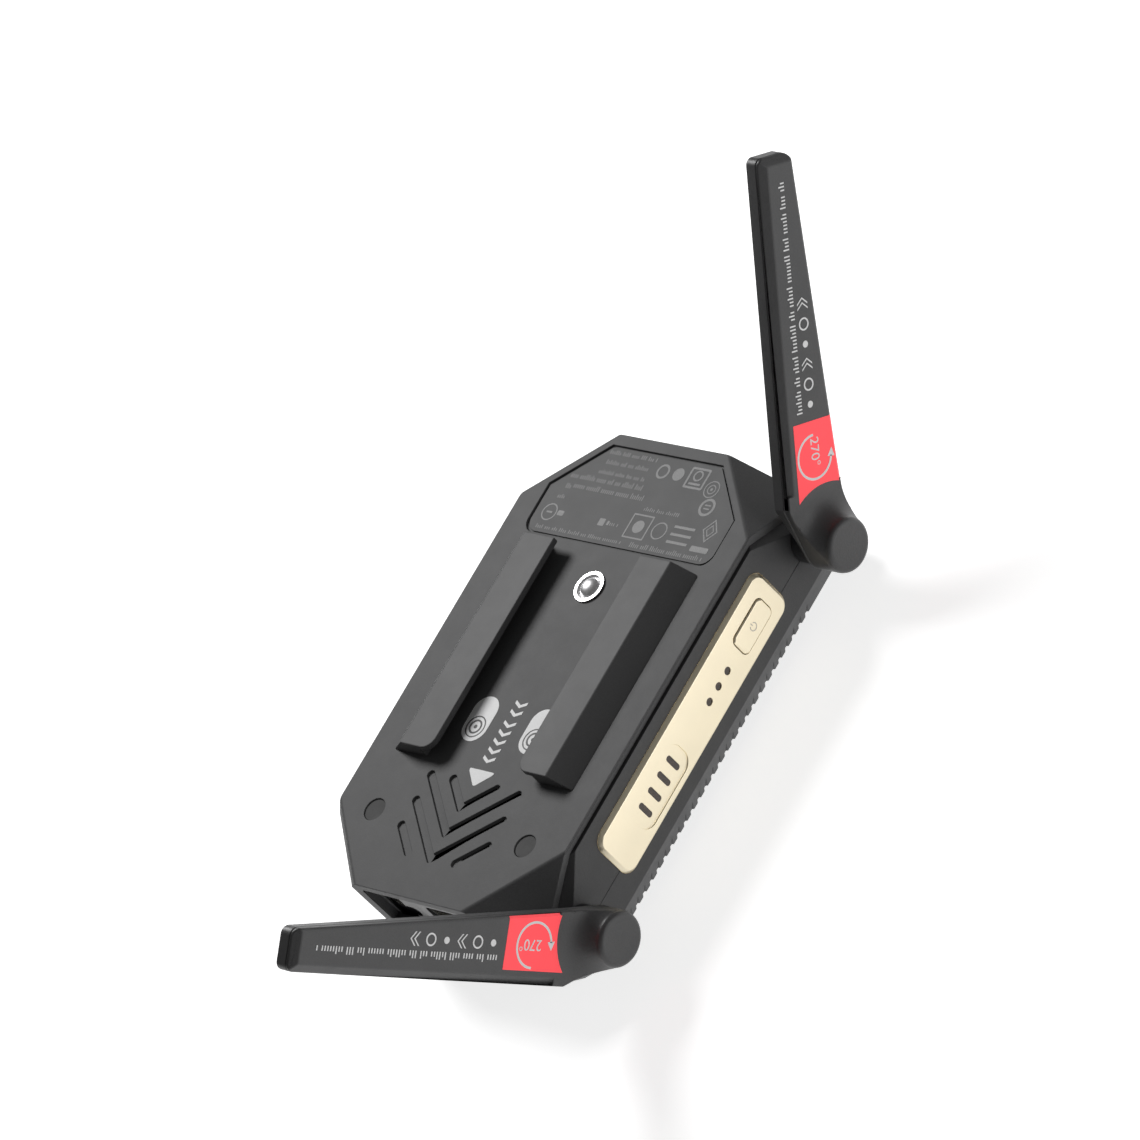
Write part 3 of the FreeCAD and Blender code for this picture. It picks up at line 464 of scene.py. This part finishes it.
# marks in the channel: slide-in direction, arrow head, and the two slider signs
CHEVRON_PLACES = (-22.7, -20.6, -18.5, -16.4, -14.3, -11.6, -9.5)
SLIDER_X, SLIDER_HALF, SLIDER_Y0, SLIDER_Y1 = 8.5, 3.4, -18.9, -8.3
RING_Y = SLIDER_Y0 + SLIDER_HALF
slide_marks = [chevron(0.0, y, 1.7, 0.9, 0.75) for y in CHEVRON_PLACES]
slide_marks.append([(-3.5, -24.6), (-3.3, -24.4), (3.4, -24.4), (3.6, -24.6), (3.4, -25.1),
                    (0.5, -27.9), (0.1, -28.1), (-0.4, -27.9), (-3.3, -25.1)])
add_print("slide_marks", slide_marks, back, white_ink, "root")
for side, sx in (("left", -1), ("right", 1)):
    cx = sx * SLIDER_X
    pill = bar(cx - SLIDER_HALF, cx + SLIDER_HALF, SLIDER_Y0, SLIDER_Y1, SLIDER_HALF - 0.05, 14)
    add_print("slider_sign_" + side, [pill], back, white_ink, "root")
    rings = ring(cx, RING_Y, 2.4, 0.28) + ring(cx, RING_Y, 1.45, 0.42) + [disc(cx, RING_Y, 0.45)]
    add_print("slider_rings_" + side, rings, back, dark_ink, "root", height=2 * INK)

# marks on the label: rows of strokes and plain signs
rows = [(-16.0, -1.8, 50.1, 1.0), (-15.5, -2.5, 47.7, 1.1), (-16.0, -2.4, 45.3, 1.0),
        (-22.8, -1.4, 43.2, 1.3), (-20.5, 1.0, 41.0, 1.3), (1.8, 12.5, 39.0, 0.9),
        (-24.4, 1.2, 30.6, 0.9), (3.5, 25.0, 30.4, 1.2), (-22.6, -20.8, 40.6, 1.2),
        (-23.2, -20.8, 38.1, 1.0), (-5.0, -2.0, 34.2, 1.0)]
signs = [shape for row in rows for shape in ticks(*row)]
signs += ring(1.0, 48.4, 1.5, 0.5) + [disc(5.5, 48.4, 1.5)]
signs += hollow_bar(8.3, 13.8, 45.8, 50.8, 0.4, 0.5) + ring(11.0, 48.9, 1.1, 0.4)
signs += [bar(9.4, 12.7, 46.7, 47.2)]
signs += ring(16.5, 46.5, 1.9, 0.25) + ring(16.5, 46.5, 1.0, 0.25) + [disc(16.5, 46.5, 0.35)]
signs += ring(18.0, 42.4, 1.8, 0.6) + [bar(17.2, 18.8, 42.7, 43.0), bar(17.2, 18.8, 41.9, 42.2)]
signs += hollow_bar(0.0, 6.0, 32.3, 38.1, 0.2, 0.35)
signs += [disc(3.0, 35.2, 1.5)] + ring(9.1, 35.2, 1.9, 0.3)
signs += [bar(12.5, 18.4, y, y + 0.6) for y in (33.0, 34.8, 36.6)]
signs += hollow_shape([(22.4, 40.2), (20.3, 37.4), (22.4, 34.6), (24.5, 37.4)], 0.25)
signs += hollow_shape([(22.4, 38.9), (21.3, 37.4), (22.4, 35.9), (23.5, 37.4)], 0.2)
signs += [bar(19.8, 24.8, 32.2, 33.5, 0.3)]
signs += ring(-23.0, 34.6, 1.9, 0.3) + [bar(-23.8, -22.2, 34.4, 34.8)]
signs += [bar(-20.7, -18.9, 34.2, 35.4, 0.3)]
signs += [bar(-8.3, -6.6, 33.8, 35.5, 0.2), bar(-5.9, -5.3, 34.2, 35.2)]
add_print("label_marks", signs, label, grey_ink, "root", height=LABEL_INK)

# open ring and stroke on the power button
button_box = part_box("power_button")
button_y = (button_box[0].y + button_box[1].y) / 2 / MM
button_z = (button_box[0].z + button_box[1].z) / 2 / MM
add_print("button_sign", [band(button_y, button_z, 0.85, 0.22, 125, 415),
                          bar(button_y - 0.11, button_y + 0.11, button_z + 0.3, button_z + 1.1)],
          button_face, icon_ink, "power_button", height=LABEL_INK)


# ---------------------------------------------------------------- prints on the antennas
INNER_SLOPE = (INNER_TIP - INNER_START) / (PADDLE_LEN - PADDLE_START)
FILM_END, FILM_TOP = 25.6, 7.8
SIGN_X, SIGN_Y, SIGN_R = 18.2, 2.7, 4.5
RIM_GAP = 0.12               # from the film's edge to the antenna's own
NUMBER_SIZE = 3.2
MARKS_START, MARKS_END = 27.8, 75.5


def inner_edge(d):
    return INNER_START + INNER_SLOPE * (d - PADDLE_START)


def bevel_drop(d, s):
    """How far the paddle's bevelled inner edge has fallen below its face."""
    return max(0.0, (inner_edge(d) + EDGE_BEVEL - s) / EDGE_BEVEL * EDGE_DROP)


def arrow(angle, turn):
    """An arrow head at the end of the turning sign's arc; turn is +1 or -1."""
    half, tail, nose = 0.95, 0.2, 1.6
    a = math.radians(angle)
    radial, along = Vector((math.cos(a), math.sin(a))), Vector((-math.sin(a), math.cos(a))) * turn
    foot = Vector((SIGN_X, SIGN_Y)) + radial * SIGN_R
    return [tuple(foot + radial * half - along * tail), tuple(foot + along * nose),
            tuple(foot - radial * half - along * tail)]


def plain_marks(x, y):
    """A row of dots, rings and arrow heads, which says nothing."""
    w, h, t, step, run = 2.4, 2.8, 0.34, 4.1, 1.2
    middle_y = y + h / 2
    shapes = []
    for i in (0, 3):
        shapes.append(disc(x + step * i + w / 2, middle_y, 0.7))
    for i in (1, 4):
        shapes += ring(x + step * i + w / 2, middle_y, 1.15, t)
    for i in (2, 5):
        for left in (x + step * i, x + step * i + 1.0):
            shapes.append([(left, y), (left + run, middle_y), (left, y + h), (left + t, y + h),
                           (left + run + t, middle_y), (left + t, y)])
    return shapes


for joint in frame["joints"]:
    if joint["child"] not in ("antenna_upper", "antenna_lower"):
        continue
    body = joint["child"]
    side = body.split("_")[1]
    angle = math.radians(REST_ANGLE[side])
    hinge = joint["pos_m"]
    paddle = Flat((PADDLE_FACE_X * MM, hinge[1], hinge[2]), (0, math.cos(angle), math.sin(angle)),
                  (0, -math.sin(angle), math.cos(angle)))
    start = math.degrees(math.asin(FILM_TOP / SCOOP_R)) - 0.5
    crease = [inner_edge(d) + EDGE_BEVEL for d in (SCOOP_R, FILM_END)]
    stop = math.degrees(math.asin(crease[0] / SCOOP_R))
    field = arc(0, 0, SCOOP_R + 0.15, stop, start, 14) + [(FILM_END, FILM_TOP), (FILM_END, crease[1])]
    first = SCOOP_R + 0.1
    rim = [(first, inner_edge(first) + EDGE_BEVEL), (FILM_END, crease[1]),
           (FILM_END, inner_edge(FILM_END) + RIM_GAP), (first, inner_edge(first) + RIM_GAP)]
    add_print(body + "_film", [field, rim], paddle, red_film, body, drop=bevel_drop)
    if side == "upper":
        sweep, head, turn = (0, 262), arrow(262, 1), 180
    else:
        sweep, head, turn = (90, -172), arrow(-172, -1), 0
    ink = [band(SIGN_X, SIGN_Y, SIGN_R, 0.5, *sweep), head]
    add_print(body + "_turn_sign", ink, paddle, white_ink, body, height=2 * INK)
    add_number(body + "_number", "270°", paddle, SIGN_X + 1.0, SIGN_Y - 0.1, NUMBER_SIZE, turn,
               white_ink, body)
    lines = ticks(MARKS_START - 0.2, MARKS_END, 5.0, 1.5, 0.72) + plain_marks(MARKS_START, 1.3)
    add_print(body + "_marks", lines, paddle, white_ink, body)


# ---------------------------------------------------------------- floor, light, camera
def floor_sheet():
    mesh = bpy.data.meshes.new("floor")
    half = FLOOR_HALF
    mesh.from_pydata([(-half, -half, 0), (half, -half, 0), (half, half, 0), (-half, half, 0)], [],
                     [(0, 1, 2, 3)])
    floor = link(bpy.data.objects.new("floor", mesh))
    floor.location.z = cad_bounds[0].z - FLOOR_GAP
    g = Graph("floor_paper")
    tone = g.tint(g.remap(g.noise(60.0, 3.0), 0.0, 1.0), (0.86, 0.86, 0.86), (0.88, 0.88, 0.88))
    mesh.materials.append(g.finish(Base_Color=tone, Roughness=0.9, Specular_IOR_Level=0.1,
                                   Emission_Color=(1.0, 1.0, 1.0, 1.0), Emission_Strength=FLOOR_GLOW))


def area_light(name, direction, distance, size, power, aim):
    """A round soft light; distance and size in metres, power in watts."""
    light = bpy.data.lights.new(name, "AREA")
    light.shape = "DISK"
    light.size = size
    light.energy = power
    placed = link(bpy.data.objects.new(name, light))
    towards = Vector(direction).normalized()
    placed.location = aim + towards * distance
    placed.rotation_euler = towards.to_track_quat("Z", "Y").to_euler()


floor_sheet()
middle = Vector((0.0, 0.0, 0.02))
area_light("key_light", (-0.66, 0.30, 0.70), 0.52, 0.22, 2.2, middle)
area_light("front_light", (0.95, 0.25, 0.18), 1.2, 0.5, 1.9, middle)

scene = bpy.context.scene
scene.view_settings.view_transform = "Standard"
scene.world = bpy.data.worlds.new("studio")
scene.world.use_nodes = True
sky = scene.world.node_tree.nodes["Background"]
sky.inputs["Color"].default_value = (1.0, 1.0, 1.0, 1.0)
sky.inputs["Strength"].default_value = 0.10

CAMERA_AIM = Vector((-0.01122, 0.02392, 0.02420))
AZIMUTH, ELEVATION, ROLL = math.radians(67.92), math.radians(38.70), math.radians(45.24)
CAMERA_DISTANCE, LENS = 1.70, 266.2
backward = Vector((math.cos(ELEVATION) * math.sin(AZIMUTH), -math.cos(ELEVATION) * math.cos(AZIMUTH),
                   math.sin(ELEVATION)))
level_right = Vector((0, 0, 1)).cross(backward).normalized()
level_up = backward.cross(level_right)
right = level_right * math.cos(ROLL) - level_up * math.sin(ROLL)
upward = level_up * math.cos(ROLL) + level_right * math.sin(ROLL)
camera_data = bpy.data.cameras.new("camera")
camera_data.lens = LENS
camera_data.sensor_width = 36.0
camera_data.clip_start, camera_data.clip_end = 0.1, 20.0
camera = link(bpy.data.objects.new("camera", camera_data))
camera.matrix_world = (Matrix.Translation(CAMERA_AIM + backward * CAMERA_DISTANCE)
                       @ Matrix((right, upward, backward)).transposed().to_4x4())
scene.camera = camera
